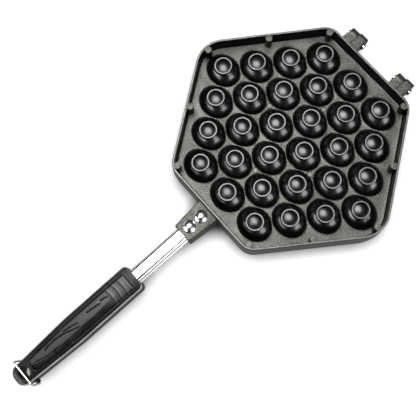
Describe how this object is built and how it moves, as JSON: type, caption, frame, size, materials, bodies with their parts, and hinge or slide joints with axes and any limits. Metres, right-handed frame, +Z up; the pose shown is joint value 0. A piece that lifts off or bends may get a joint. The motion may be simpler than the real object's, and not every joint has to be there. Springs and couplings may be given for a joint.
{
  "type": "egg waffle pan",
  "caption": "Hinged two-half stove-top waffle pan with a hexagonal rim, egg-shaped cavities, paired chrome and plastic handles and a wire loop that locks them.",
  "frame": {"origin": "middle of the bottom of the closed pan's box, on the surface that it rests on", "axes": "+X along the handle from the grips to the hinges, +Y across the handle, +Z up, square to the joint between the halves"},
  "size_m": [0.4044, 0.2122, 0.034],
  "materials": {
    "cast_plate": "cast, dark grey textured non-stick coat, glossy black on the egg bumps",
    "chrome_tube": "polished chrome",
    "chrome_rivet": "polished chrome",
    "plain_steel": "zinc plated",
    "grip_plastic": "satin",
    "steel_wire": "bright wire"
  },
  "bodies": {
    "lower_half": {"lower_pan": "cast_plate", "lower_handle_tube": "chrome_tube", "lower_grip": "grip_plastic", "lower_grip_screw": "plain_steel", "lower_rivet_inner": "chrome_rivet", "lower_rivet_outer": "chrome_rivet", "lower_burr_inner": "plain_steel", "lower_burr_outer": "plain_steel", "left_hinge_pin": "chrome_rivet", "left_pin_washer": "plain_steel", "right_hinge_pin": "chrome_rivet", "right_pin_washer": "plain_steel"},
    "upper_half": {"upper_pan": "cast_plate", "upper_handle_tube": "chrome_tube", "upper_grip": "grip_plastic", "upper_grip_screw": "plain_steel", "upper_rivet_inner": "chrome_rivet", "upper_rivet_outer": "chrome_rivet", "upper_burr_inner": "plain_steel", "upper_burr_outer": "plain_steel"},
    "loop": {"locking_loop": "steel_wire"}
  },
  "joints": [
    {"name": "pan_hinge", "type": "hinge", "parent": "lower_half", "child": "upper_half", "pos_m": [0.1962, 0, 0.017], "axis": [0, 1, 0], "range_deg": [0, 180]},
    {"name": "loop_swing", "type": "hinge", "parent": "lower_half", "child": "loop", "pos_m": [-0.1932, 0, 0.00825], "axis": [0, -1, 0], "range_deg": [0, 255]}
  ]
}
